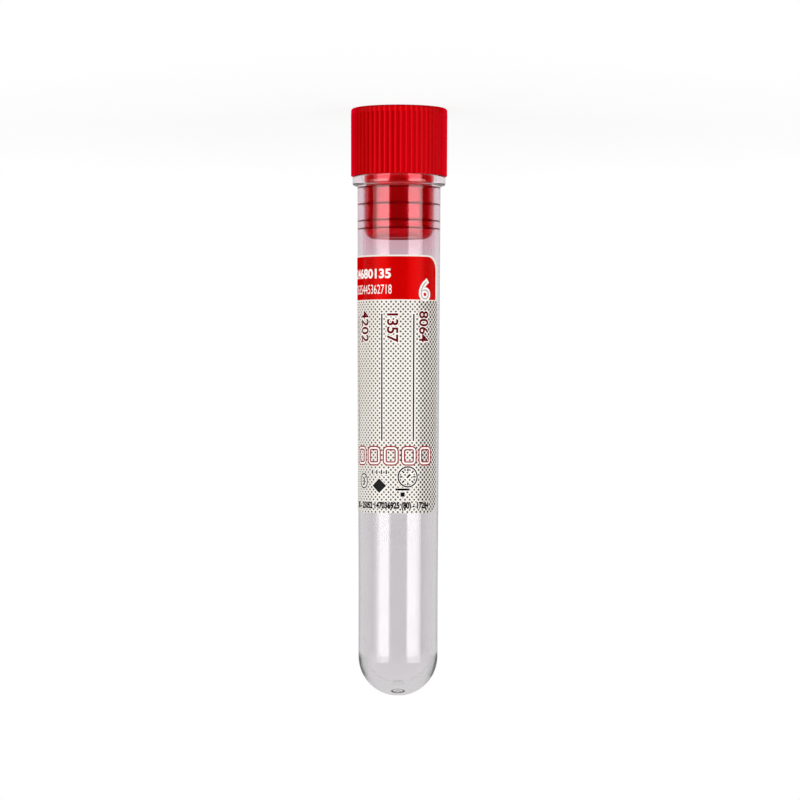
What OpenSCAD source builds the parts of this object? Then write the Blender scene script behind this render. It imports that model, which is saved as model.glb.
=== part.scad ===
// Blood collection tube, 16 x 100 mm, standing on the flat top of its stopper.
// A clear moulded tube with a round bottom and a flanged mouth, a ribbed push-in
// stopper with sealing lips, and a film label wrapped round the barrel.
// Every piece is drawn with the stopper on top, from the bottom end at height 0,
// and stood() then turns it over onto the surface z = 0.

/* [Tube] */
// Length from the bottom end to the top of the rim
tube_len = 99.7; // [80:0.1:125]
// Outer diameter of the barrel just under the flange
barrel_d = 16.0; // [13.4:0.1:19.4]
// Draft of the barrel, in degrees a side
draft = 0.30; // [0.1:0.02:0.5]
// Height up to which the foot of the barrel is straight
foot_top = 20; // [16:1:32]
// Wall thickness of the barrel
wall = 1.0; // [0.8:0.05:1.25]
// Thickness of the round bottom on the axis
bottom_wall = 1.8; // [1.2:0.1:2.4]
// Diameter of the small flat at the bottom end
gate_flat_d = 3.0; // [2.8:0.1:4.2]
// Diameter of the dimple in that flat
gate_dimple_d = 2.4; // [2:0.1:2.7]
// Depth of the dimple
gate_dimple_depth = 0.3; // [0.2:0.05:0.4]
// Diameter of the gate stub in the dimple
gate_stub_d = 0.9; // [0.6:0.1:1.5]

/* [Flange] */
// How far the flange stands out of the barrel, a side
flange_lip = 0.95; // [0.8:0.05:1.4]
// Height of the flange
flange_h = 1.8; // [1.6:0.1:2.6]
// Corner radius of the flange
flange_round = 0.45; // [0.2:0.05:0.6]
// Fillet between the flange and the barrel
flange_fillet = 0.5; // [0.3:0.05:0.6]
// Radius of the edge where the rim meets the bore
rim_round = 0.25; // [0.1:0.05:0.3]

/* [Stopper head] */
// Height of the ribbed head
head_h = 13.0; // [10:0.1:16]
// How far the foot of the head stands out past the flange, a side
head_overhang = 0.3; // [0.05:0.05:0.6]
// How much the head widens towards its top, a side
head_flare = 0.04; // [0:0.02:0.2]
// Wall of the head, measured from the tips of the ribs
head_wall = 1.4; // [1.2:0.05:1.8]
// Thickness of the floor that sits on the rim
head_floor = 1.5; // [1.2:0.1:2]
// Number of ribs
rib_count = 56; // [36:4:64]
// Depth of the grooves between the ribs
rib_depth = 0.25; // [0.15:0.05:0.35]
// Width of a rib at its tip
rib_tip_w = 0.5; // [0.3:0.05:0.55]
// Width of a groove at its bottom
groove_w = 0.26; // [0.15:0.05:0.3]
// Height of the plain collar above the ribs
collar_h = 1.2; // [0.6:0.1:1.8]
// How far the collar stands in from the tips of the ribs
collar_step = 0.02; // [0.02:0.02:0.2]
// Radius of the outer top edge
crown_round = 0.5; // [0.2:0.05:0.5]
// Chamfer on the bottom edge of the head
head_chamfer = 0.1; // [0.1:0.05:0.3]

/* [Stopper plug] */
// Length of the plug below the rim
plug_len = 12.0; // [10.2:0.1:15]
// Clearance between the plug and the bore at the rim, a side
plug_gap = 0.35; // [0.3:0.05:0.6]
// Wall of the plug
plug_wall = 1.2; // [0.9:0.1:1.6]
// Thickness of the plug's closed end
plug_floor = 1.4; // [1:0.1:2]
// Width of the bevel on the plug's end
plug_bevel_w = 1.25; // [0.8:0.05:1.8]
// Height of the bevel on the plug's end
plug_bevel_h = 1.65; // [1:0.05:1.7]
// Heights of the sealing lips above the plug's end
lip_heights = [1.85, 3.35, 6.55, 9.8]; // [1.85:0.05:10]
// Width of a lip at its root
lip_root_w = 0.46; // [0.3:0.02:0.5]
// Width of a lip at its tip
lip_tip_w = 0.28; // [0.1:0.02:0.3]
// Running clearance between a lip and the bore
lip_gap = 0.08; // [0.02:0.01:0.1]
// Clearance between the head and the rim it sits on
seat_gap = 0.02; // [0.01:0.01:0.1]

/* [Label] */
// Height of the label's lower edge above the bottom end
label_base = 35.2; // [33:0.1:42]
// Distance of the label's upper edge below the rim
label_drop = 15.4; // [14:0.1:20]
// Angle that the label wraps round the barrel
label_wrap = 247; // [180:1:300]
// Angle of the label's right-hand edge from the front
label_edge = 67; // [40:1:90]
// Thickness of the label
label_t = 0.06; // [0.06:0.02:0.16]
// Thickness of the adhesive between label and barrel
glue_t = 0.02; // [0.01:0.01:0.05]
// Corner radius of the label
label_round = 3.0; // [1:0.1:4]

/* [Hidden] */
$fn = 96;
// Overlap that makes a cutter pass right through what it cuts
past = 1;
// How far a round is let in past the face it runs out on, to meet it at a small angle
run_out = 0.02;

// Tube, from the bottom end up
flange_base = tube_len - flange_h;
foot_r = barrel_d / 2 - (flange_base - foot_top) * tan(draft);
foot_centre = sqrt(foot_r * foot_r - gate_flat_d * gate_flat_d / 4);
bore_foot_r = foot_r - wall;
bore_centre = bottom_wall + bore_foot_r;
flange_r = barrel_d / 2 + flange_lip;

// Stopper
head_base = tube_len + seat_gap;
head_top = head_base + head_h;
head_foot_r = flange_r + head_overhang;
head_crown_r = head_foot_r + head_flare;
collar_r = head_crown_r - collar_step;
plug_r = bore_r(tube_len) - plug_gap;
plug_end = head_base - plug_len;
pitch_angle = 360 / rib_count;
tip_half_angle = asin(rib_tip_w / 2 / head_foot_r);

// Outer radius of the barrel at a height
function barrel_r(s) = foot_r + max(0, s - foot_top) * tan(draft);

// Radius of the bore at a height
function bore_r(s) = barrel_r(s) - wall;

// Radius of the head over the tips of its ribs at a height
function head_r(s) = head_foot_r + head_flare * (s - head_base) / head_h;

// Turns a piece over to stand on the stopper's flat top, with the front of the label
// still towards -Y
module stood() {
    translate([0, 0, head_top]) rotate([0, 180, 0]) children();
}

// What lies between a square corner at the origin and the round of radius r inside it,
// with a margin outside the corner
module corner(r, margin = 0) {
    difference() {
        translate([-margin, -margin]) square(r + margin);
        translate([r, r]) circle(r);
    }
}

// Section of the solid barrel, with its round bottom cut flat at the gate
module barrel_section() {
    intersection() {
        translate([0, foot_centre]) circle(foot_r);
        square([foot_r, foot_centre]);
    }
    polygon([
        [0, foot_centre], [foot_r, foot_centre], [foot_r, foot_top],
        [barrel_r(tube_len), tube_len], [0, tube_len]
    ]);
}

// Section of the flange and of the fillet under it
module flange_section() {
    difference() {
        translate([0, flange_base]) square([flange_r, flange_h]);
        translate([flange_r, tube_len]) mirror([1, 0]) mirror([0, 1]) corner(flange_round);
        translate([flange_r, flange_base]) mirror([1, 0]) corner(flange_round);
    }
    translate([barrel_r(flange_base - flange_fillet) - run_out, flange_base + run_out])
        mirror([0, 1]) corner(flange_fillet);
}

// Section of the bore, open at the top, with the rounded edge of the rim
module bore_section() {
    intersection() {
        translate([0, bore_centre]) circle(bore_foot_r);
        square([bore_foot_r, bore_centre]);
    }
    polygon([
        [0, bore_centre], [bore_foot_r, bore_centre], [bore_foot_r, foot_top],
        [bore_r(tube_len + past), tube_len + past], [0, tube_len + past]
    ]);
    translate([bore_r(tube_len) - run_out, tube_len + run_out])
        mirror([0, 1]) corner(rim_round, past);
}

// Section of the ring-shaped dimple round the gate stub
module dimple_section() {
    translate([gate_stub_d / 2, -past])
        square([(gate_dimple_d - gate_stub_d) / 2, gate_dimple_depth + past]);
}

module tube() {
    color([0.92, 0.92, 0.94, 0.4])
        stood()
            rotate_extrude()
                difference() {
                    union() {
                        barrel_section();
                        flange_section();
                    }
                    bore_section();
                    dimple_section();
                }
}

// Outline of the ribbed head, whose tips reach past the envelope that trims them
module rib_outline() {
    tip_r = head_crown_r + rib_depth;
    groove_r = head_foot_r - rib_depth;
    flank = (pitch_angle - 2 * tip_half_angle - 2 * asin(groove_w / 2 / groove_r)) / 2;
    reach = flank * (tip_r - head_foot_r) / rib_depth;
    polygon([
        for (i = [0 : rib_count - 1])
            let (a = 90 + (i + 0.5) * pitch_angle)
                for (side = [-1, 1], p = side < 0 ? [0, 1] : [1, 0])
                    let (
                        r = p == 1 ? tip_r : groove_r,
                        b = a + side * (tip_half_angle + (p == 1 ? -reach : flank))
                    )
                        [r * cos(b), r * sin(b)]
    ]);
}

// Envelope that trims the ribs: a chamfered foot and a flared side, up to the collar
module rib_envelope() {
    chamfer_top = head_base + head_chamfer;
    rib_top = head_top - collar_h;
    rotate_extrude()
        polygon([
            [0, head_base], [head_foot_r - head_chamfer, head_base],
            [head_r(chamfer_top), chamfer_top], [head_r(rib_top), rib_top], [0, rib_top]
        ]);
}

// Plain collar at the top of the head, with its rounded crown
module collar() {
    rotate_extrude()
        difference() {
            translate([0, head_top - collar_h]) square([collar_r, collar_h]);
            translate([collar_r, head_top]) mirror([1, 0]) mirror([0, 1]) corner(crown_round);
        }
}

// One sealing lip: a ring that narrows from the plug to the bore
module lip(s) {
    root_r = plug_r - plug_wall / 2;
    tip_r = bore_r(s) - lip_gap;
    rotate_extrude()
        polygon([
            [root_r, s - lip_root_w / 2], [plug_r, s - lip_root_w / 2], [tip_r, s - lip_tip_w / 2],
            [tip_r, s + lip_tip_w / 2], [plug_r, s + lip_root_w / 2], [root_r, s + lip_root_w / 2]
        ]);
}

// Solid plug, bevelled at its end and run up into the head
module plug() {
    rotate_extrude()
        polygon([
            [0, plug_end], [plug_r - plug_bevel_w, plug_end], [plug_r, plug_end + plug_bevel_h],
            [plug_r, head_base + head_floor / 2], [0, head_base + head_floor / 2]
        ]);
    for (h = lip_heights) lip(plug_end + h);
}

// Stepped recess: the wide well of the head, then the narrow well of the plug
module recess() {
    well_r = plug_r - plug_wall;
    well_end = plug_end + plug_floor;
    bevel_h = max(plug_bevel_h - plug_floor / 2, 0.1);
    rotate_extrude()
        polygon([
            [0, well_end], [well_r - plug_bevel_w * bevel_h / plug_bevel_h, well_end],
            [well_r, well_end + bevel_h], [well_r, head_base + head_floor],
            [head_foot_r - head_wall, head_base + head_floor],
            [head_r(head_top + past) - head_wall, head_top + past], [0, head_top + past]
        ]);
}

module stopper() {
    color([0.78, 0.02, 0.03])
        stood()
            difference() {
                union() {
                    intersection() {
                        translate([0, 0, head_base]) linear_extrude(head_h) rib_outline();
                        rib_envelope();
                    }
                    collar();
                    plug();
                }
                recess();
            }
}

// Cutter that rounds one corner of the label, at an angle and a height
module label_corner(angle, s, turn, flip) {
    rotate([0, 0, angle])
        translate([foot_r / 2, 0, s])
            rotate([90, 0, 90])
                linear_extrude(barrel_d)
                    mirror([0, flip])
                        mirror([turn, 0])
                            translate([-run_out, -run_out])
                                corner(label_round, past);
}

module label() {
    label_top = tube_len - label_drop;
    left = -90 + label_edge - label_wrap;
    right = -90 + label_edge;
    color([0.93, 0.92, 0.9])
        stood()
            difference() {
                rotate([0, 0, left])
                    rotate_extrude(angle = label_wrap)
                        polygon([
                            [barrel_r(label_base) + glue_t, label_base],
                            [barrel_r(label_base) + glue_t + label_t, label_base],
                            [barrel_r(label_top) + glue_t + label_t, label_top],
                            [barrel_r(label_top) + glue_t, label_top]
                        ]);
                label_corner(left, label_base, 0, 0);
                label_corner(left, label_top, 0, 1);
                label_corner(right, label_base, 1, 0);
                label_corner(right, label_top, 1, 1);
            }
}

tube();
stopper();
label();
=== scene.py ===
"""Looks of a blood collection tube that stands on the flat top of its stopper.

Shapes are worked out in millimetres in the tube's own measure: x and y across the axis,
with the front of the label towards -y, and s along the axis from the round bottom end to
the top of the stopper. Stand.place() turns such points over into the frame, in metres.
"""

import logging
import math
from collections.abc import Callable, Iterable, Mapping, Sequence
from dataclasses import dataclass, field
from enum import Enum, IntEnum

import bmesh
import bpy
import numpy as np
from mathutils import Matrix, Vector


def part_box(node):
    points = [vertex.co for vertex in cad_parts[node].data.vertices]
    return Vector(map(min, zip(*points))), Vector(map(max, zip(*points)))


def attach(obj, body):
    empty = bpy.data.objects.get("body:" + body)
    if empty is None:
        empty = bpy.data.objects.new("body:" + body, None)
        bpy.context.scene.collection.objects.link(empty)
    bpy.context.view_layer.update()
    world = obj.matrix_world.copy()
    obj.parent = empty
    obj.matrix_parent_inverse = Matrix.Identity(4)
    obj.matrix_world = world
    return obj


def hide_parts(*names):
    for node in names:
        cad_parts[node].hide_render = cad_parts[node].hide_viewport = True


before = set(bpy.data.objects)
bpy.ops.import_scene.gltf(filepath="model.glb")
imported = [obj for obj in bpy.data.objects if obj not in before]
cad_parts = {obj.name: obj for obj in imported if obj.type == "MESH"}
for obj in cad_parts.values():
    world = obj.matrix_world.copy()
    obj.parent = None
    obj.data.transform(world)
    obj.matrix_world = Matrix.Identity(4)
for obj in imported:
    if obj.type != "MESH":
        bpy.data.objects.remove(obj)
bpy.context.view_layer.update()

MM = 0.001
CREASE = 30.0  # edges that turn by more degrees than this stay sharp
LABEL_MAP = "Print"
log = logging.getLogger("tube")

Points = np.ndarray
Colour = tuple[float, float, float]
Piece = bpy.types.Object
Socket = bpy.types.NodeSocket


class Body(Enum):
    """The bodies of the frame that pieces ride on."""

    BARREL = "barrel"
    STOPPER = "stopper"


class Slot(Enum):
    """The record's material slots."""

    PLASTIC = "clear_plastic"
    STOPPER = "red_plastic"
    LABEL = "label_film"


# ---------------------------------------------------------------- shapes


@dataclass(frozen=True)
class Stand:
    """Where the object stands: on the stopper's top, with the round bottom up.

    Attributes:
        top: Height of the stopper's top above the bottom end, in mm.
    """

    top: float

    @classmethod
    def from_frame(cls) -> "Stand":
        """Reads the object's height from the frame's boxes.

        Returns:
            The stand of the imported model.
        """
        return cls(top=(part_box("tube")[1][2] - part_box("stopper")[0][2]) / MM)

    def place(self, points: Points) -> Points:
        """Turns points over and scales them: (x, y, s) goes to (-x, y, top - s).

        Args:
            points: Points in mm, with s above the bottom end.

        Returns:
            The same points in metres, in the frame.
        """
        turned = np.stack([-points[..., 0], points[..., 1], self.top - points[..., 2]], -1)
        return turned * MM


def arc(centre: Sequence[float], radius: float, start: float, end: float, steps: int) -> Points:
    """Points on an arc: the centre plus the radius times (cos a, sin a).

    Args:
        centre: Centre of the arc.
        radius: Its radius.
        start: First angle, in degrees.
        end: Last angle, in degrees.
        steps: Number of steps between them.

    Returns:
        An array of steps + 1 points.
    """
    a = np.radians(np.linspace(start, end, steps + 1))
    return np.asarray(centre) + radius * np.stack([np.cos(a), np.sin(a)], -1)


def run(*stretches: Sequence[Sequence[float]]) -> Points:
    """Joins stretches of an outline end to end and drops points that repeat.

    Args:
        stretches: Arrays or lists of points.

    Returns:
        One array of points.
    """
    points = np.concatenate([np.asarray(s, dtype=float).reshape(-1, 2) for s in stretches])
    step = np.linalg.norm(np.diff(points, axis=0), axis=1)
    return points[np.r_[True, step > 1e-6]]


def grid_quads(rows: int, columns: int, closed: bool, first: int = 0) -> Points:
    """Quads between neighbouring rows and columns of a grid of points.

    Args:
        rows: Number of rows.
        columns: Number of points in a row.
        closed: Whether the last column joins the first.
        first: Number of the grid's first point.

    Returns:
        An array of quads, four point numbers each.
    """
    i = np.arange(rows - 1)[:, None] * columns
    j = np.arange(columns if closed else columns - 1)[None, :]
    k = (j + 1) % columns
    quads = np.stack([i + j, i + k, i + columns + k, i + columns + j], -1)
    return quads.reshape(-1, 4) + first


def fan(columns: int, pole: int, first: int = 0) -> Points:
    """Triangles from a pole to each pair of neighbours in a ring.

    Args:
        columns: Number of points in the ring.
        pole: Number of the pole.
        first: Number of the ring's first point.

    Returns:
        An array of triangles, three point numbers each.
    """
    j = np.arange(columns)
    return np.stack([np.full(columns, pole), first + j, first + (j + 1) % columns], -1)


def outward(points: Points, faces: list[list[int]]) -> list[list[int]]:
    """Turns the faces of a closed shell outward.

    The volume is a sixth of the sum of a . (b x c) over the triangles that fan out from
    each face's first corner; a negative volume means that every face points inward.

    Args:
        points: The shell's points.
        faces: Its faces, all turned the same way.

    Returns:
        The faces, reversed if they pointed inward.
    """
    fans = [(f[0], f[k], f[k + 1]) for f in faces for k in range(1, len(f) - 1)]
    a, b, c = (points[np.array(fans)[:, k]] for k in range(3))
    volume = np.einsum("ij,ij->", a, np.cross(b, c)) / 6
    return [f[::-1] for f in faces] if volume < 0 else faces


def new_object(name: str, points: Points, faces: list[list[int]]) -> Piece:
    """Makes a smooth object at the origin from points in metres.

    Args:
        name: Name of the piece.
        points: Its points.
        faces: Its faces.

    Returns:
        The new object, linked to the scene.
    """
    mesh = bpy.data.meshes.new(name)
    mesh.from_pydata(points.reshape(-1, 3).tolist(), [], faces)
    mesh.polygons.foreach_set("use_smooth", np.ones(len(mesh.polygons), dtype=bool))
    mesh.set_sharp_from_angle(angle=math.radians(CREASE))
    return linked(name, mesh)


def linked(name: str, data: bpy.types.ID) -> Piece:
    """Makes an object and links it to the scene.

    Args:
        name: Name of the object.
        data: Its mesh, curve, lamp or camera.

    Returns:
        The new object.
    """
    made = bpy.data.objects.new(name, data)
    bpy.context.scene.collection.objects.link(made)
    return made


def turned(stand: Stand, name: str, radii: Points, heights: Points, ends: Sequence[float],
           columns: int, phase: float = 0.0) -> Piece:
    """A closed shell of rings about the axis: (r cos a, r sin a, s), with a pole at each end.

    Args:
        stand: Where the object stands.
        name: Name of the piece.
        radii: Radius of each ring, one number a ring or one for each of its columns.
        heights: Height of each ring.
        ends: Heights of the first and the last pole.
        columns: Number of points in a ring.
        phase: Angle of the first column, in degrees.

    Returns:
        The new object.
    """
    a = np.radians(phase) + 2 * np.pi * np.arange(columns) / columns
    r = np.broadcast_to(radii.reshape(len(heights), -1), (len(heights), columns))
    s = np.broadcast_to(heights[:, None], r.shape)
    rings = np.stack([r * np.cos(a), r * np.sin(a), s], -1).reshape(-1, 3)
    points = stand.place(np.concatenate([rings, [[0, 0, ends[0]], [0, 0, ends[1]]]]))
    start = fan(columns, len(rings))[:, ::-1]
    end = fan(columns, len(rings) + 1, len(rings) - columns)
    faces = grid_quads(len(heights), columns, True).tolist() + start.tolist() + end.tolist()
    return new_object(name, points, outward(points, faces))


# ---------------------------------------------------------------- finishes


class Nodes:
    """A node tree, with short calls that add nodes and join them."""

    def __init__(self, tree: bpy.types.NodeTree) -> None:
        """Takes the tree to add to."""
        self.tree = tree

    def feed(self, socket: Socket, value: object) -> None:
        """Links a socket to another one, or sets its value.

        Args:
            socket: The input to feed.
            value: An output socket, a number, a colour or a vector.
        """
        if isinstance(value, Socket):
            self.tree.links.new(value, socket)
        elif isinstance(value, tuple) and len(value) == 3 and socket.type == "RGBA":
            socket.default_value = (*value, 1.0)
        else:
            socket.default_value = value

    def node(self, kind: str, inputs: dict[str | int, object], **settings: object) -> bpy.types.Node:
        """Adds a node.

        Args:
            kind: The node's type.
            inputs: What feeds its inputs, by name or number.
            settings: The node's own settings.

        Returns:
            The new node.
        """
        made = self.tree.nodes.new(kind)
        for key, value in settings.items():
            setattr(made, key, value)
        for key, value in inputs.items():
            self.feed(made.inputs[key], value)
        return made

    def math(self, operation: str, a: object, b: object = 0.0, c: object = 0.0) -> Socket:
        """The result of a Math node."""
        return self.node("ShaderNodeMath", {0: a, 1: b, 2: c}, operation=operation).outputs[0]

    def path(self) -> Mapping[str, Socket]:
        """What is known about the ray: its kind, and how often it was mirrored, bent or scattered."""
        return self.node("ShaderNodeLightPath", {}).outputs

    def bounced(self, depth: Socket) -> Socket:
        """1 once a depth of the ray is at least 1, and 0 before."""
        return self.math("GREATER_THAN", depth, 0.5)


class Graph(Nodes):
    """A material's nodes."""

    def __init__(self, name: str) -> None:
        """Starts a material that holds only its shader and output.

        Args:
            name: Name of the material.
        """
        self.material = bpy.data.materials.new(name)
        self.material.use_nodes = True
        super().__init__(self.material.node_tree)
        self.shader = self.tree.nodes["Principled BSDF"]

    def set(self, **values: object) -> None:
        """Feeds the shader's inputs, whose names are written with underscores."""
        for key, value in values.items():
            self.feed(self.shader.inputs[key.replace("_", " ")], value)

    def show(self, share: Socket, under: bpy.types.Node, over: bpy.types.Node) -> None:
        """Shows a share of one shader laid over another one."""
        mixed = self.node("ShaderNodeMixShader", {0: share, 1: under.outputs[0], 2: over.outputs[0]})
        self.feed(self.tree.nodes["Material Output"].inputs["Surface"], mixed.outputs[0])

    def ramp(self, value: object, low: float, high: float, out_low: float = 0.0,
             out_high: float = 1.0) -> Socket:
        """Maps low..high smoothly to out_low..out_high, and holds the ends."""
        inputs = {"Value": value, "From Min": low, "From Max": high, "To Min": out_low, "To Max": out_high}
        return self.node("ShaderNodeMapRange", inputs, interpolation_type="SMOOTHSTEP").outputs["Result"]

    def spread(self, noise: Socket, low: float = 0.0, high: float = 1.0) -> Socket:
        """The usual values of a noise, stretched over low..high."""
        return self.ramp(noise, 0.3, 0.7, low, high)

    def blend(self, share: object, a: object, b: object) -> Socket:
        """Colour a with share of colour b laid over it."""
        return self.node("ShaderNodeMix", {0: share, 6: a, 7: b}, data_type="RGBA").outputs[2]

    def place(self, stretch: Sequence[float] = (1.0, 1.0, 1.0)) -> Socket:
        """The object's own coordinates, stretched along each axis."""
        here = self.node("ShaderNodeTexCoord", {}).outputs["Object"]
        return self.node("ShaderNodeMapping", {"Vector": here, "Scale": tuple(stretch)}).outputs[0]

    def axes(self, vector: Socket) -> Mapping[str, Socket]:
        """The X, Y and Z of a vector."""
        return self.node("ShaderNodeSeparateXYZ", {0: vector}).outputs

    def noise(self, vector: object, scale: float, detail: float = 2.0) -> Socket:
        """A noise between 0 and 1."""
        inputs = {"Vector": vector, "Scale": scale, "Detail": detail}
        return self.node("ShaderNodeTexNoise", inputs).outputs["Fac"]

    def facing(self) -> Socket:
        """How far a face turns away from the eye, from 0 to 1."""
        return self.node("ShaderNodeLayerWeight", {"Blend": 0.5}).outputs["Facing"]

    def fade(self, level: float, edge: float) -> Socket:
        """A level that falls to 0 on faces that turn away from the eye as far as the edge."""
        return self.ramp(self.facing(), edge - 0.35, edge, level, 0.0)

    def bump(self, height: object, strength: float, distance: float) -> Socket:
        """A normal bent by a height, in metres, times the distance."""
        made = self.node("ShaderNodeBump", {"Height": height, "Strength": strength, "Distance": distance})
        return made.outputs["Normal"]


@dataclass(frozen=True)
class ClearPlastic:
    """Clear moulded plastic with a faint grey-lilac tone, lengthwise flow lines and painted red light near
    the stopper.

    Attributes:
        tone: Colour that light takes on through the wall.
        uneven: Share of that tone in its paler clouds.
        clouds: Clouds per metre.
        glow: Its colour next to the stopper: painted red light that stands in for the stopper's red
            scattered in the wall.
        red_light_from: Height up to which that red is full, in metres.
        red_light_end: Height at which that red ends, in metres.
        flange_end: Height of the flange, in metres.
        flange_fade: Height over which the flange's colour ends, in metres.
        flange_tone: Colour of the flange, paler and pinker: painted light from the stopper's red above it.
        ior: Refractive index.
        flow_lines: Lines round the barrel per metre.
        flow_along: How closely the lines change along the barrel, as a share of that.
        rough: Least and greatest roughness.
        relief: Strength of the lines' relief.
        relief_h: Height of that relief, in metres.
    """

    tone: Colour = (0.815, 0.795, 0.81)
    uneven: float = 0.94
    clouds: float = 120.0
    glow: Colour = (0.815, 0.60, 0.665)
    red_light_from: float = 0.0216
    red_light_end: float = 0.036
    flange_end: float = 0.0148
    flange_fade: float = 0.0004
    flange_tone: Colour = (0.93, 0.80, 0.835)
    ior: float = 1.5
    flow_lines: float = 900.0
    flow_along: float = 0.04
    rough: tuple[float, float] = (0.035, 0.075)
    relief: float = 0.15
    relief_h: float = 0.00002

    def make(self) -> bpy.types.Material:
        """Builds the material.

        Returns:
            The material.
        """
        g = Graph("clear_plastic")
        lines = g.noise(g.place((1.0, 1.0, self.flow_along)), self.flow_lines)
        cloud = g.noise(g.place(), self.clouds)
        pale = tuple(1 - self.uneven * (1 - c) for c in self.tone)
        height = g.axes(g.place())["Z"]
        # Painted light: the wall's colour turns red towards the stopper, standing in for light from the
        # stopper's red.
        near = g.ramp(height, self.red_light_from, self.red_light_end, 1.0, 0.0)
        # Painted light: the flange is paler and pinker than the rest of the same clear wall.
        below = g.ramp(height, self.flange_end, self.flange_end + self.flange_fade, 1.0, 0.0)
        body = g.blend(near, g.blend(g.spread(cloud), self.tone, pale), self.glow)
        g.set(Base_Color=g.blend(below, body, self.flange_tone), Roughness=g.spread(lines, *self.rough),
              Transmission_Weight=1.0, IOR=self.ior, Normal=g.bump(lines, self.relief, self.relief_h))
        return g.material


@dataclass(frozen=True)
class MouldedRed:
    """Red polyethylene with a moulded grain.

    Attributes:
        name: Name of the material.
        colour: Colour of the plastic.
        deep: Colour of its darker clouds.
        sheen: Colour of its highlights.
        rough: Roughness between the grains.
        dull: Roughness of the grains, as a multiple of that.
        ior: Refractive index, which sets how strong the highlights are.
        level: Strength of the highlights.
        clouds: Clouds per metre.
        clouds_along: How closely the clouds change along the axis, as a share of that.
        grain: Grains per metre.
        relief: Strength of the grains' relief.
        relief_h: Height of that relief, in metres.
        edge: How far a face may turn away, from 0 to 1, before its highlights end.
    """

    name: str
    colour: Colour
    deep: Colour
    sheen: Colour = (1.0, 0.06, 0.09)
    rough: float = 0.3
    dull: float = 1.25
    ior: float = 1.5
    level: float = 0.12
    clouds: float = 260.0
    clouds_along: float = 0.3
    grain: float = 4200.0
    relief: float = 0.25
    relief_h: float = 0.00001
    edge: float = 0.5

    def base(self, g: Graph) -> Socket:
        """The plastic's colour, with its clouds."""
        cloud = g.noise(g.place((1.0, 1.0, self.clouds_along)), self.clouds)
        return g.blend(g.spread(cloud), self.colour, self.deep)

    def make(self) -> bpy.types.Material:
        """Builds the material.

        Returns:
            The material.
        """
        g = Graph(self.name)
        grain = g.noise(g.place(), self.grain, 3.0)
        g.set(Base_Color=self.base(g), Roughness=g.spread(grain, self.rough, self.dull * self.rough),
              IOR=self.ior, Specular_IOR_Level=g.fade(self.level, self.edge), Specular_Tint=self.sheen,
              Normal=g.bump(grain, self.relief, self.relief_h))
        return g.material


@dataclass(frozen=True)
class RibbedRed(MouldedRed):
    """The red plastic of the ribbed head, with a painted highlight along one shoulder of each rib.

    How far faces turn away from the eye is a number from 0 to 1.

    Attributes:
        ribs: Number of ribs.
        line: Colour of a painted highlight line.
        lean: Turn of the lines round the head, in rib pitches.
        highlight_edge: Cosine at which a line is full, where 0 is its end.
        faint: Share of a line that is left on faces half turned away.
        highlight_fade_from: How far they turn away where a line begins to fade and where it has faded.
        side: Share of their colour that those faces keep, as painted shade.
        painted_shade_from: How far they turn away where they begin to darken and where they have darkened.
        rim: Colour of the faces seen almost from the side, a painted pink highlight.
        rim_highlight_from: How far they turn away where that colour begins and where it is full.
    """

    ribs: int = 56
    line: Colour = (0.66, 0.004, 0.011)
    lean: float = 0.77
    highlight_edge: float = 0.8
    faint: float = 0.5
    highlight_fade_from: tuple[float, float] = (0.1, 0.3)
    side: float = 0.85
    painted_shade_from: tuple[float, float] = (0.12, 0.32)
    rim: Colour = (0.70, 0.0008, 0.018)
    rim_highlight_from: tuple[float, float] = (0.5, 0.75)

    def base(self, g: Graph) -> Socket:
        """The plastic's colour with a painted highlight line where the cosine of ribs times the turn is
        high, painted shade on faces that turn away, and a painted pink highlight at the rim.

        Args:
            g: The material's nodes.

        Returns:
            The colour.
        """
        here = g.axes(g.place())
        turn = g.math("ARCTAN2", here["X"], here["Y"])
        wave = g.math("COSINE", g.math("MULTIPLY_ADD", turn, float(self.ribs), 2 * math.pi * self.lean))
        facing = g.facing()
        # Painted highlight: a pale line on each rib, fainter on faces that turn away.
        near = g.ramp(facing, *self.highlight_fade_from, 1.0, self.faint)
        highlight_share = g.math("MULTIPLY", g.ramp(wave, 0.0, self.highlight_edge), near)
        lined = g.blend(highlight_share, super().base(g), self.line)
        # Painted shade: faces that turn away from the eye are darkened.
        shade = g.ramp(facing, *self.painted_shade_from, 1.0, self.side)
        dimmed = g.node("ShaderNodeVectorMath", {0: lined, "Scale": shade}, operation="SCALE")
        # Painted highlight: faces seen almost from the side turn pink.
        return g.blend(g.ramp(facing, *self.rim_highlight_from), dimmed.outputs[0], self.rim)


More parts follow.
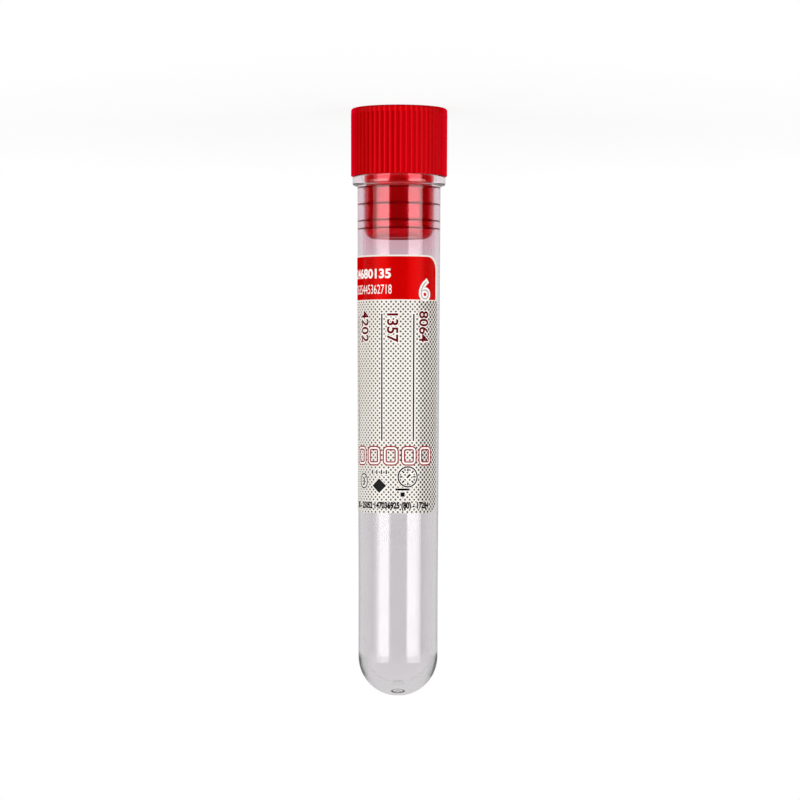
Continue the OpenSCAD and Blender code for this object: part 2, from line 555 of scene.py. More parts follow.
@dataclass(frozen=True)
class PrintedFilm:
    """White label film with a field of small staggered dots below the header.

    Attributes:
        paper: Colour of the bare film.
        warm: Colour of its warmer patches.
        dot_ink: Colour of the dots.
        top: Height at which the dots end, in mm above the bottom end.
        top_fade: Height over which they end, in mm.
        pitch_across: Distance between dots of one row, in mm.
        pitch_along: Distance between every second row, in mm.
        shift: Place of one dot, across and up the label, in mm.
        ahead: Pitches added so that no place is below 0.
        dot_size: Diameter of a dot, in mm.
        dot_blur: Share of a dot's radius over which it fades, inside and outside its edge.
        bold: How much larger the dots are towards the right edge, painted shade where they look darker away
            from the highlights.
        dot_shade_from: Where they begin to grow and where they are that size, in mm across.
        patches: Warm patches per metre.
        patches_along: How closely they change along the axis, as a share of that.
        patch_edge: Values of their noise where a patch begins and where it is full.
        fibres: Fibres per metre.
        rough: Least and greatest roughness.
        relief: Strength of the fibres' relief.
        relief_h: Height of that relief, in metres.
        level: Strength of the highlights.
        edge: How far a face may turn away, from 0 to 1, before its highlights end.
    """

    paper: Colour = (0.69, 0.665, 0.625)
    warm: Colour = (0.675, 0.63, 0.58)
    dot_ink: Colour = (0.045, 0.038, 0.034)
    top: float = 75.62
    top_fade: float = 0.05
    pitch_across: float = 0.92
    pitch_along: float = 0.94
    shift: tuple[float, float] = (-0.08, -0.30)
    ahead: int = 200
    dot_size: float = 0.375
    dot_blur: float = 0.25
    bold: float = 1.35
    dot_shade_from: tuple[float, float] = (2.9, 4.9)
    patches: float = 90.0
    patches_along: float = 0.6
    patch_edge: tuple[float, float] = (0.35, 0.65)
    fibres: float = 1500.0
    rough: tuple[float, float] = (0.3, 0.38)
    relief: float = 0.12
    relief_h: float = 0.00001
    level: float = 0.25
    edge: float = 0.6

    def dots(self, g: Graph, u: Socket, v: Socket) -> Socket:
        """Share of dot ink: near the points where both (a + b) and (a - b) are whole.

        Here a and b are the places across and along, in pitches.

        Args:
            g: The material's nodes.
            u: Place across the label, in mm.
            v: Height on the label, in mm.

        Returns:
            1 at the middle of a dot and 0 between dots.
        """
        a = g.math("DIVIDE", g.math("SUBTRACT", u, self.shift[0]), self.pitch_across)
        b = g.math("DIVIDE", g.math("SUBTRACT", v, self.shift[1]), self.pitch_along)
        parts = []
        for kind in ("ADD", "SUBTRACT"):
            cell = g.math("FRACT", g.math("ADD", g.math(kind, a, b), self.ahead + 0.5))
            off = g.math("SUBTRACT", cell, 0.5)
            parts.append(g.math("MULTIPLY", off, off))
        distance = g.math("SQRT", g.math("ADD", *parts))
        # Painted shade: the dots grow towards the right edge, so the print looks darker there.
        distance = g.math("DIVIDE", distance, g.ramp(u, *self.dot_shade_from, 1.0, self.bold))
        edge = self.dot_size / math.hypot(self.pitch_across, self.pitch_along)
        return g.ramp(distance, (1 - self.dot_blur) * edge, (1 + self.dot_blur) * edge, 1.0, 0.0)

    def make(self) -> bpy.types.Material:
        """Builds the material.

        Returns:
            The material.
        """
        g = Graph("printed_film")
        place = g.axes(g.node("ShaderNodeUVMap", {}, uv_map=LABEL_MAP).outputs["UV"])
        fibre = g.noise(g.place(), self.fibres)
        patch = g.noise(g.place((1.0, 1.0, self.patches_along)), self.patches)
        bare = g.blend(g.ramp(patch, *self.patch_edge), self.paper, self.warm)
        below = g.ramp(place["Y"], self.top, self.top + self.top_fade, 1.0, 0.0)
        dots = g.math("MULTIPLY", self.dots(g, place["X"], place["Y"]), below)
        g.set(Base_Color=g.blend(dots, bare, self.dot_ink), Roughness=g.spread(fibre, *self.rough),
              Specular_IOR_Level=g.fade(self.level, self.edge),
              Normal=g.bump(fibre, self.relief, self.relief_h))
        return g.material


@dataclass(frozen=True)
class FilmBack:
    """The plain adhesive side of the label, seen through the wall, with a faint painted glow.

    Attributes:
        colour: Colour of the back.
        worn: Share of that colour where the glue is thin.
        smears: Smears of glue per metre.
        rough: Least and greatest roughness.
        through: Strength of a painted glow, white light on the back that stands in for what the thin film
            lets through from its front.
    """

    colour: Colour = (0.92, 0.915, 0.905)
    worn: float = 0.96
    smears: float = 700.0
    rough: tuple[float, float] = (0.5, 0.6)
    through: float = 0.16

    def make(self) -> bpy.types.Material:
        """Builds the material.

        Returns:
            The material.
        """
        g = Graph("film_back")
        glue = g.noise(g.place(), self.smears)
        thin = tuple(self.worn * c for c in self.colour)
        # Painted light: the back glows a little, though it is no lamp.
        g.set(Base_Color=g.blend(g.spread(glue), self.colour, thin), Roughness=g.spread(glue, *self.rough),
              Emission_Color=self.colour, Emission_Strength=self.through)
        return g.material


@dataclass(frozen=True)
class Ink:
    """A printed ink, a little uneven in tone.

    Attributes:
        name: Name of the material.
        colour: Colour of the ink.
        uneven: How much darker its thin spots are.
        sheen: Colour of its highlights.
        level: Strength of its highlights.
        edge: How far a face may turn away, from 0 to 1, before its highlights end.
        spots: Thin spots per metre.
        rough: Least and greatest roughness.
    """

    name: str
    colour: Colour
    uneven: float = 0.12
    sheen: Colour = (1.0, 1.0, 1.0)
    level: float = 0.12
    edge: float = 0.5
    spots: float = 3500.0
    rough: tuple[float, float] = (0.25, 0.32)

    def make(self) -> bpy.types.Material:
        """Builds the material.

        Returns:
            The material.
        """
        g = Graph(self.name)
        spots = g.noise(g.place(), self.spots)
        worn = tuple((1 - self.uneven) * c for c in self.colour)
        g.set(Base_Color=g.blend(g.spread(spots), self.colour, worn), Roughness=g.spread(spots, *self.rough),
              Specular_IOR_Level=g.fade(self.level, self.edge), Specular_Tint=self.sheen)
        return g.material


# ---------------------------------------------------------------- sub-assemblies


@dataclass
class Tube:
    """The clear tube: a drafted barrel, a round bottom with a gate mark, and a flanged mouth.

    Lengths are in mm, heights are above the bottom end, and the draft and the gap that the
    bore's last ring leaves to the axis are in degrees.
    """

    stand: Stand
    length: float = 99.7
    barrel_d: float = 16.0
    draft: float = 0.30
    foot_top: float = 20.0
    wall: float = 1.0
    bottom_wall: float = 1.8
    gate_flat_d: float = 3.0
    gate_dimple_d: float = 2.4
    gate_dimple_depth: float = 0.3
    gate_stub_d: float = 0.9
    gate_edge: float = 0.08
    flange_lip: float = 0.95
    flange_h: float = 1.8
    flange_round: float = 0.45
    flange_fillet: float = 0.5
    rim_round: float = 0.25
    pole_gap: float = 3.0
    columns: int = 256

    @property
    def flange_base(self) -> float:
        """Height of the flange's lower face."""
        return self.length - self.flange_h

    @property
    def slope(self) -> float:
        """How much the barrel's radius grows per mm of height."""
        return math.tan(math.radians(self.draft))

    @property
    def foot_r(self) -> float:
        """Radius of the straight foot and of the round bottom."""
        return self.barrel_d / 2 - (self.flange_base - self.foot_top) * self.slope

    def outer_r(self, s: float | Points) -> float | Points:
        """Outer radius of the barrel at a height."""
        return self.foot_r + np.maximum(0, s - self.foot_top) * self.slope

    def bore_r(self, s: float | Points) -> float | Points:
        """Radius of the bore at a height."""
        return self.outer_r(s) - self.wall

    def gate(self) -> Points:
        """Outline of the gate: a stub, a ring-shaped dimple and the flat round it.

        Returns:
            Its points as radius and height.
        """
        stub, dimple, e = self.gate_stub_d / 2, self.gate_dimple_d / 2, self.gate_edge
        roof = self.gate_dimple_depth - e
        return run(
            arc((stub - e, e), e, -90, 0, 3),
            [(stub, roof)],
            arc((stub + e, roof), e, 180, 90, 3),
            arc((dimple - e, roof), e, 90, 0, 3),
            arc((dimple + e, e), e, 180, 270, 3),
        )

    def outside(self) -> Points:
        """Outline of the outside, from the flat at the gate to the top of the rim.

        Returns:
            Its points as radius and height.
        """
        base, lip, fillet = self.flange_base, self.flange_round, self.flange_fillet
        flange_r = self.barrel_d / 2 + self.flange_lip
        flat_r = self.gate_flat_d / 2
        centre = math.sqrt(self.foot_r**2 - flat_r**2)
        neck = self.outer_r(base - fillet)
        return run(
            arc((0, centre), self.foot_r, -math.degrees(math.acos(flat_r / self.foot_r)), 0, 40),
            [(self.foot_r, self.foot_top)],
            arc((neck + fillet, base - fillet), fillet, 180, 90, 10),
            arc((flange_r - lip, base + lip), lip, -90, 0, 10),
            arc((flange_r - lip, self.length - lip), lip, 0, 90, 10),
        )

    def inside(self) -> Points:
        """Outline of the bore, from the rim down to the round bottom.

        Returns:
            Its points as radius and height.
        """
        rim, top, bore = self.rim_round, self.length, self.bore_r(0)
        return run(
            arc((self.bore_r(top) + rim, top - rim), rim, 90, 180, 8),
            [(bore, self.foot_top)],
            arc((0, self.bottom_wall + bore), bore, 0, self.pole_gap - 90, 40),
        )

    def build(self) -> Piece:
        """Turns the whole section about the axis as one closed shell.

        Returns:
            The tube.
        """
        section = run(self.gate(), self.outside(), self.inside())
        return turned(self.stand, "tube_shell", section[:, 0], section[:, 1],
                      (0.0, self.bottom_wall), self.columns)

    def dress(self, piece: Piece) -> None:
        """Gives the tube its plastic and ties it to the frame.

        Args:
            piece: The tube.
        """
        piece.data.materials.append(ClearPlastic().make())
        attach(piece, Body.BARREL.value)
        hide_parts("tube")


class Zone(IntEnum):
    """The finishes of the stopper, by the number of their material."""

    RIBBED = 0
    SMOOTH = 1
    # The lips: the plug's red darkened as painted shade.
    PRESSED = 2


@dataclass
class Stopper:
    """The red stopper: a ribbed head on the rim, and a hollow plug with sealing lips.

    Lengths are in mm. Lip heights are above the plug's end.
    """

    stand: Stand
    tube: Tube
    head_h: float = 13.0
    head_overhang: float = 0.3
    head_flare: float = 0.04
    head_wall: float = 1.4
    head_floor: float = 1.5
    head_chamfer: float = 0.1
    rib_count: int = 56
    rib_depth: float = 0.25
    rib_tip_w: float = 0.5
    rib_runout: float = 0.15
    rib_rings: int = 12
    foot_dip: float = 0.35
    groove_w: float = 0.26
    collar_h: float = 1.2
    collar_step: float = 0.02
    crown_round: float = 0.5
    plug_len: float = 12.0
    plug_gap: float = 0.35
    plug_wall: float = 1.2
    plug_floor: float = 1.4
    plug_bevel_w: float = 1.25
    plug_bevel_h: float = 1.65
    plug_bevel_bulge: float = 0.22
    end_rim_w: float = 0.35
    end_dish: float = 0.25
    lip_heights: tuple[float, ...] = (1.85, 3.35, 6.55, 9.8)
    lip_root_w: float = 0.46
    lip_tip_w: float = 0.28
    lip_press: float = 0.02
    mouth_round: float = 0.15
    well_round: float = 0.3
    well_foot_w: float = 0.6
    well_foot_h: float = 1.1
    pole_r: float = 0.5
    inset: float = 0.003
    columns_per_rib: int = 12

    @property
    def base(self) -> float:
        """Height of the head's underside."""
        return self.stand.top - self.head_h

    @property
    def foot_r(self) -> float:
        """Radius over the rib tips at the foot of the head."""
        return self.tube.barrel_d / 2 + self.tube.flange_lip + self.head_overhang - self.inset

    @property
    def crown_r(self) -> float:
        """Radius over the rib tips at the top of the head."""
        return self.foot_r + self.head_flare

    @property
    def plug_r(self) -> float:
        """Radius of the plug."""
        return float(self.tube.bore_r(self.tube.length)) - self.plug_gap

    @property
    def plug_end(self) -> float:
        """Height of the plug's closed end."""
        return self.base - self.plug_len

    @property
    def columns(self) -> int:
        """Number of points in a ring."""
        return self.rib_count * self.columns_per_rib

    def rib_dip(self) -> Points:
        """How far each column of the head lies in from the rib tips.

        The dip is the rib's depth times a smooth step, which rises from 0 at the edge of
        the tip to 1 at the edge of the groove, with the distance from the rib's middle.

        Returns:
            One dip for each column.
        """
        pitch = 2 * np.pi * self.foot_r / self.rib_count
        phase = np.arange(self.columns) / self.columns_per_rib % 1.0
        tip, groove = self.rib_tip_w / 2, (pitch - self.groove_w) / 2
        share = np.clip((np.abs(phase - 0.5) * pitch - tip) / (groove - tip), 0, 1)
        return self.rib_depth * share**2 * (3 - 2 * share)

    def ribbed_side(self) -> tuple[Points, Points]:
        """The rings of the head's side: the collar's step, the ribs and the chamfer at the foot.

        A ring's radius is the one over the rib tips less a share of the dip.

        Returns:
            A radius for each ring and column, and the height of each ring.
        """
        rib_top = self.stand.top - self.collar_h
        ribs = np.linspace(rib_top - self.rib_runout, self.base + self.head_chamfer, self.rib_rings)
        s = np.r_[rib_top, rib_top, ribs, self.base, self.base]
        tips = self.foot_r + self.head_flare * (s - self.base) / self.head_h
        tips[-2:] -= (self.head_chamfer, self.head_chamfer + self.rib_depth)
        sink = np.r_[0, np.ones(len(s) - 3), self.foot_dip, 0]
        rings = tips[:, None] - sink[:, None] * self.rib_dip()
        rings[0] = self.crown_r - self.collar_step
        return rings, s

    def crown(self) -> Points:
        """Outline of the plain collar, from the well's edge over the crown to the ribs.

        Returns:
            Its points as radius and height.
        """
        top, r, soft = self.stand.top, self.crown_r - self.collar_step, self.mouth_round
        return run(
            arc((self.crown_r - self.head_wall + soft, top - soft), soft, 180, 90, 4),
            arc((r - self.crown_round, top - self.crown_round), self.crown_round, 90, 0, 8),
            [(r, top - self.collar_h + self.collar_step)],
        )

    def lips(self) -> Points:
        """Outline of the plug's side from the head down to the bevel, with its lips.

        Returns:
            Its points as radius and height.
        """
        rows = [(self.plug_r, self.base)]
        for height in sorted(self.lip_heights, reverse=True):
            s = self.plug_end + height
            tip = float(self.tube.bore_r(s)) + self.lip_press
            for r, half in ((self.plug_r, self.lip_root_w / 2), (tip, self.lip_tip_w / 2),
                            (tip, -self.lip_tip_w / 2), (self.plug_r, -self.lip_root_w / 2)):
                rows.append((r, s + half))
        return np.array(rows)

    def plug_foot(self) -> Points:
        """Outline of the plug's bevel and of its closed end, which is a shallow dish.

        The bevel is a straight line plus a bulge of sin(pi t) square to it.

        Returns:
            Its points as radius and height.
        """
        r, end, w, h = self.plug_r, self.plug_end, self.plug_bevel_w, self.plug_bevel_h
        t = np.linspace(0, 1, 9)
        bulge = self.plug_bevel_bulge * np.sin(np.pi * t) / math.hypot(w, h)
        bevel = np.stack([r - w * t + bulge * h, end + h * (1 - t) - bulge * w], -1)
        rim, dish = r - w - self.end_rim_w, self.end_dish
        return run(bevel, [(rim, end)], arc((rim - dish, end), dish, 0, 90, 4), [(self.pole_r, end + dish)])

    def wells(self) -> Points:
        """Outline of the stepped recess, from the plug's floor up to the head's top.

        Returns:
            Its points as radius and height.
        """
        well, wide, soft = self.plug_r - self.plug_wall, self.foot_r - self.head_wall, self.well_round
        floor, ledge = self.plug_end + self.plug_floor, self.base + self.head_floor
        return run(
            [(self.pole_r, floor)],
            arc((well - soft - self.well_foot_w, floor + soft), soft, -90, -45, 3),
            [(well, floor + self.well_foot_h)],
            arc((well + soft, ledge - soft), soft, 180, 90, 5),
            arc((wide - soft, ledge + soft), soft, -90, 0, 5),
        )

    def build(self) -> Piece:
        """Rings from the plug's floor over the crown, ribs and lips to the plug's end.

        Returns:
            The stopper, with a zone for each face.
        """
        ribbed, ribbed_s = self.ribbed_side()
        above, below = run(self.wells(), self.crown()), run(self.lips(), self.plug_foot())
        plain = [np.repeat(part[:, :1], self.columns, axis=1) for part in (above, below)]
        heights = np.concatenate([above[:, 1], ribbed_s, below[:, 1]])
        piece = turned(self.stand, "stopper_moulding", np.concatenate([plain[0], ribbed, plain[1]]), heights,
                       (self.plug_end + self.plug_floor, self.plug_end + self.end_dish), self.columns,
                       phase=90.0 - 180.0 / self.columns)
        first = len(heights) - len(below)
        zone = np.full(len(piece.data.polygons), Zone.RIBBED, dtype=np.int32)
        zone[(first - 1) * self.columns: (len(heights) - 1) * self.columns] = Zone.SMOOTH
        # The lips' faces take the darker red of painted shade.
        for lip in range(len(self.lip_heights)):
            start = first + 1 + 4 * lip
            zone[start * self.columns: (start + 3) * self.columns] = Zone.PRESSED
        piece.data.polygons.foreach_set("material_index", zone)
        return piece

    def dress(self, piece: Piece) -> None:
        """Gives the stopper its red plastic and ties it to the frame.

        Args:
            piece: The stopper.
        """
        finishes = {
            Zone.RIBBED: RibbedRed("ribbed_red", (0.485, 0.0002, 0.0010), (0.44, 0.0001, 0.0006),
                                   ribs=self.rib_count),
            # Painted light: the plug's red is brighter than the head's, making up for the light that the
            # clear wall keeps off; its gloss is its own finish.
            Zone.SMOOTH: MouldedRed("smooth_red", (0.76, 0.0001, 0.0006), (0.72, 0.0001, 0.0005),
                                    rough=0.16, ior=2.3, level=1.0, grain=1500.0, edge=1.3),
            # Painted shade: the lips are the plug's red made darker, without highlights.
            Zone.PRESSED: MouldedRed("lip_shade_red", (0.34, 0.0005, 0.002), (0.28, 0.0004, 0.0015),
                                     level=0.0),
        }
        for zone in Zone:
            piece.data.materials.append(finishes[zone].make())
        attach(piece, Body.STOPPER.value)
        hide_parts("stopper")


@dataclass
class Label:
    """The film label wrapped round the barrel, and the surface that its print lies on.

    Lengths are in mm, and angles in degrees from the front towards the right.
    """

    stand: Stand
    tube: Tube
    base: float = 35.2
    drop: float = 15.4
    wrap: float = 247.0
    right: float = 67.0
    film: float = 0.06
    glue: float = 0.02
    corner: float = 3.0
    corner_rows: int = 9
    rows: int = 40
    columns: int = 180

    @property
    def top(self) -> float:
        """Height of the upper edge."""
        return self.tube.length - self.drop

    @property
    def middle_r(self) -> float:
        """Outer radius at half height, on which widths are measured."""
        return float(self.tube.outer_r((self.base + self.top) / 2)) + self.glue + self.film

    def across(self, angle: float) -> float:
        """Place across the label of an angle from the front."""
        return math.radians(angle) * self.middle_r

    def on_film(self, flat: Points) -> Points:
        """Wraps flat points round the barrel, a lift above the film's outer face.

        The angle is the place across divided by the middle radius, and the radius is the
        barrel's at that height plus the glue, the film and the lift.

        Args:
            flat: Points as place across, height and lift.

        Returns:
            The same points as (x, y, s).
        """
        a = flat[..., 0] / self.middle_r
        r = self.tube.outer_r(flat[..., 1]) + self.glue + self.film + flat[..., 2]
        return np.stack([r * np.sin(a), -r * np.cos(a), flat[..., 1]], -1)

    def outline(self) -> tuple[Points, Points]:
        """Heights of the rows, and how far the round corners narrow each of them.

        Near an edge the inset is c - sqrt(c^2 - (c - d)^2), where c is the corner's radius
        and d the distance to the edge.

        Returns:
            The heights and the insets.
        """
        turn = self.corner * (1 - np.cos(np.radians(np.linspace(0, 90, self.corner_rows))))
        low, high = self.base + turn, self.top - turn[::-1]
        s = np.r_[low, np.linspace(low[-1], high[0], self.rows)[1:-1], high]
        near = np.minimum(np.minimum(s - self.base, self.top - s), self.corner)
        return s, self.corner - np.sqrt(np.maximum(self.corner**2 - (self.corner - near) ** 2, 0))

    def build(self) -> Piece:
        """A closed film: an outer and an inner face, joined round the edge.

        Returns:
            The label, with a UV map in mm across and up the print.
        """
        s, inset = self.outline()
        left = self.across(self.right - self.wrap) + inset
        right = self.across(self.right) - inset
        u = left[:, None] + (right - left)[:, None] * np.linspace(0, 1, self.columns)
        v = np.broadcast_to(s[:, None], u.shape)
        sides = [self.on_film(np.stack([u, v, np.full(u.shape, lift)], -1)) for lift in (0.0, -self.film)]
        points = self.stand.place(np.concatenate([side.reshape(-1, 3) for side in sides]))
        index = np.arange(u.size).reshape(u.shape)
        loop = np.r_[index[0], index[1:, -1], index[-1, -2::-1], index[-2:0:-1, 0]]
        after = np.roll(loop, -1)
        edge = np.stack([loop, after, after + u.size, loop + u.size], -1)[:, ::-1]
        front = grid_quads(len(s), self.columns, False)
        back = grid_quads(len(s), self.columns, False, u.size)[:, ::-1]
        faces = np.concatenate([front, back, edge]).tolist()
        piece = new_object("label_sheet", points, outward(points, faces))
        self.add_map(piece.data, np.concatenate([np.stack([u, v], -1).reshape(-1, 2)] * 2))
        inner = np.zeros(len(piece.data.polygons), dtype=np.int32)
        inner[len(front): len(front) + len(back)] = 1
        piece.data.polygons.foreach_set("material_index", inner)
        return piece

    @staticmethod
    def add_map(mesh: bpy.types.Mesh, places: Points) -> None:
        """Gives a mesh the UV map that the print is laid out on.

        Args:
            mesh: The mesh.
            places: Place across and height of each vertex, in mm.
        """
        corners = np.empty(len(mesh.loops), dtype=np.int32)
        mesh.loops.foreach_get("vertex_index", corners)
        layer = mesh.uv_layers.new(name=LABEL_MAP)
        layer.uv.foreach_set("vector", places[corners].astype(np.float32).ravel())

    def dress(self, piece: Piece) -> None:
        """Gives the label its printed and plain sides and ties it to the frame.

        Args:
            piece: The label.
        """
        piece.data.materials.append(PrintedFilm().make())
        piece.data.materials.append(FilmBack().make())
        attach(piece, Body.BARREL.value)
        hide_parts("label")


# ---------------------------------------------------------------- print


class Turn(Enum):
    """How a row of digits stands on the label."""

    UPRIGHT = 0
    DOWNWARD = -90


@dataclass(frozen=True)
class Digits:
    """A row of plain digits.

    Attributes:
        text: The digits.
        place: Lower left corner of the row as it is read, across and up the label, in mm.
        height: Height of a digit, in mm.
        squeeze: Width of the digits as a share of their natural width.
        swell: How far their outline is widened, in mm.
        turn: Whether the row is upright or read downward.
    """

    text: str
    place: tuple[float, float]
    height: float
    squeeze: float = 1.0
    swell: float = 0.0
    turn: Turn = Turn.UPRIGHT


def rounded_loop(width: float, height: float, radius: float, steps: int = 6) -> Callable[[float], Points]:
    """A rounded rectangle about the origin that can be made wider or narrower.

    Its points are the centres of the corners plus the radius times (cos a, sin a), so an
    offset only changes that radius.

    Args:
        width: Its width.
        height: Its height.
        radius: Radius of its corners.
        steps: Steps in each corner.

    Returns:
        A function from an offset to the loop's points.
    """
    a = np.radians(np.concatenate([np.linspace(90 * q, 90 * q + 90, steps + 1) for q in range(4)]))
    quarter = np.repeat(np.array([[1, 1], [-1, 1], [-1, -1], [1, -1]]), steps + 1, axis=0)
    centres = quarter * np.array([width / 2 - radius, height / 2 - radius])
    return lambda offset: centres + (radius + offset) * np.stack([np.cos(a), np.sin(a)], -1)


@dataclass
class Layer:
    """One ink of the print: flat closed plates that are wrapped round the label together.

    Attributes:
        name: Name of the piece.
        ink: Its ink.
        lift: Height of the ink's back above the film, in mm.
        thickness: Thickness of the ink, in mm.
        strip: Width of the strips that the plates are cut into so that they can bend, in mm.
        digit_rise: Height of the font's digits at size 1.
        mesh: The plates so far, as place across, height and place in the ink's thickness.
    """

    name: str
    ink: Ink
    lift: float
    thickness: float = 0.004
    strip: float = 0.45
    digit_rise: float = 0.73
    mesh: bmesh.types.BMesh = field(default_factory=bmesh.new)

    def add(self, section: Sequence[tuple[Points, float]], centre: Sequence[float],
            ends: Iterable[Sequence[int]] = ()) -> None:
        """Adds the walls between loops with as many points each.

        Args:
            section: The loops in order, with the height of each in the ink's thickness.
            centre: Place of the loops.
            ends: Faces that close the ends.
        """
        flat = np.concatenate([loop + np.asarray(centre) for loop, _ in section])
        rise = np.repeat([height for _, height in section], len(section[0][0]))
        walls = grid_quads(len(section), len(section[0][0]), True)
        shell = bpy.data.meshes.new("shell")
        shell.from_pydata(np.column_stack([flat, rise]).tolist(), [], [*walls.tolist(), *ends])
        self.take(shell)

    def take(self, shell: bpy.types.Mesh) -> None:
        """Moves a mesh into the layer."""
        self.mesh.from_mesh(shell)
        bpy.data.meshes.remove(shell)

    def band(self, loop: Callable[[float], Points], outer: float, inner: float,
             centre: Sequence[float]) -> None:
        """Adds a flat closed ring between two offsets of a loop.

        The last loop of its section repeats the first, and the two are merged at the end.

        Args:
            loop: The loop.
            outer: Outer offset.
            inner: Inner offset.
            centre: Place of the ring.
        """
        top = self.thickness
        corners = ((outer, 0.0), (inner, 0.0), (inner, top), (outer, top), (outer, 0.0))
        self.add([(loop(offset), height) for offset, height in corners], centre)

    def plate(self, outline: Points, centre: Sequence[float] = (0.0, 0.0)) -> None:
        """Adds a flat closed plate with a given outline.

        Args:
            outline: Its corners, in order.
            centre: Place of the plate.
        """
        corners = np.arange(len(outline))
        self.add([(outline, 0.0), (outline, self.thickness)], centre,
                 [corners[::-1].tolist(), (corners + len(outline)).tolist()])

    def bar(self, start: Sequence[float], end: Sequence[float], width: float, grow: float = 0.0) -> None:
        """Adds a straight line of ink from one point to another.

        Args:
            start: One end.
            end: The other end.
            width: Width of the line.
            grow: How much further it reaches on every side.
        """
        a, b = np.asarray(start, dtype=float), np.asarray(end, dtype=float)
        along = (b - a) / np.linalg.norm(b - a)
        a, b = a - grow * along, b + grow * along
        side = np.array([-along[1], along[0]]) * (width / 2 + grow)
        self.plate(np.array([a - side, b - side, b + side, a + side]))

    def digits(self, row: Digits, grow: float = 0.0) -> None:
        """Adds a row of digits, made a mesh before its place is applied.

        Args:
            row: The digits and their place.
            grow: How much further their outline is widened.
        """
        size = row.height / self.digit_rise
        curve = bpy.data.curves.new("digits", "FONT")
        curve.body = row.text
        curve.size = 1.0
        curve.resolution_u = 4
        curve.offset = (row.swell + grow) / size
        curve.extrude = self.thickness / 2 / size
        holder = linked("digits", curve)
        bpy.context.view_layer.update()
        flat = bpy.data.meshes.new_from_object(holder.evaluated_get(bpy.context.evaluated_depsgraph_get()))
        bpy.data.objects.remove(holder)
        shape = Matrix.Diagonal((size * row.squeeze, size, size, 1.0))
        turn = Matrix.Rotation(math.radians(row.turn.value), 4, "Z")
        flat.transform(Matrix.Translation((*row.place, self.thickness / 2)) @ turn @ shape)
        self.take(flat)

    def face_out(self) -> None:
        """Turns every face outward: walls by their neighbours, and flat faces up or down by their height."""
        bmesh.ops.recalc_face_normals(self.mesh, faces=self.mesh.faces)
        flat = [face for face in self.mesh.faces if abs(face.normal.z) > 0.5]
        inward = [face for face in flat
                  if (face.normal.z > 0) != (face.calc_center_median().z > self.thickness / 2)]
        bmesh.ops.reverse_faces(self.mesh, faces=inward)

    def finish(self, label: Label) -> Piece:
        """Cuts the plates into strips that can bend, and wraps them round the label.

        Args:
            label: The label.

        Returns:
            The piece, ridden on the barrel.
        """
        bmesh.ops.remove_doubles(self.mesh, verts=self.mesh.verts, dist=1e-5)
        across = [v.co.x for v in self.mesh.verts]
        for cut in np.arange(math.ceil(min(across) / self.strip) * self.strip, max(across), self.strip):
            geometry = [*self.mesh.verts, *self.mesh.edges, *self.mesh.faces]
            bmesh.ops.bisect_plane(self.mesh, geom=geometry, plane_co=(cut, 0, 0), plane_no=(1, 0, 0),
                                   dist=1e-6)
        self.face_out()
        mesh = bpy.data.meshes.new(self.name)
        self.mesh.to_mesh(mesh)
        self.mesh.free()
        flat = np.empty(3 * len(mesh.vertices))
        mesh.vertices.foreach_get("co", flat)
        flat = flat.reshape(-1, 3) + (0, 0, self.lift)
        mesh.vertices.foreach_set("co", label.stand.place(label.on_film(flat)).ravel())
        mesh.update()
        piece = linked(self.name, mesh)
        piece.data.materials.append(self.ink.make())
        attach(piece, Body.BARREL.value)
        return piece


@dataclass(frozen=True)
class Boxes:
    """A row of equal boxes, each with two outlines. Places are across and up the label, in mm.

    Attributes:
        count: Number of boxes.
        first: Middle of the first box, across.
        last: Middle of the last box, across.
        middle: Height of their middles.
        width: Width of a box.
        height: Height of a box.
        corner: Radius of its corners.
        insets: How far in from the box each outline lies.
        half_line: Half the width of an outline.
        body_inset: How far in the box's body reaches.
    """

    count: int = 5
    first: float = -8.6
    last: float = 5.6
    middle: float = 46.1
    width: float = 2.9
    height: float = 3.5
    corner: float = 0.85
    insets: tuple[float, ...] = (0.0, 0.58)
    half_line: float = 0.12
    body_inset: float = 0.68

    def draw(self, bodies: Layer, outlines: Layer) -> None:
        """Draws the boxes.

        Args:
            bodies: The layer of their bodies.
            outlines: The layer of their outlines.
        """
        loop, half = rounded_loop(self.width, self.height, self.corner), self.half_line
        for across in np.linspace(self.first, self.last, self.count):
            bodies.band(loop, half, -self.body_inset, (across, self.middle))
            for inset in self.insets:
                outlines.band(loop, half - inset, -half - inset, (across, self.middle))


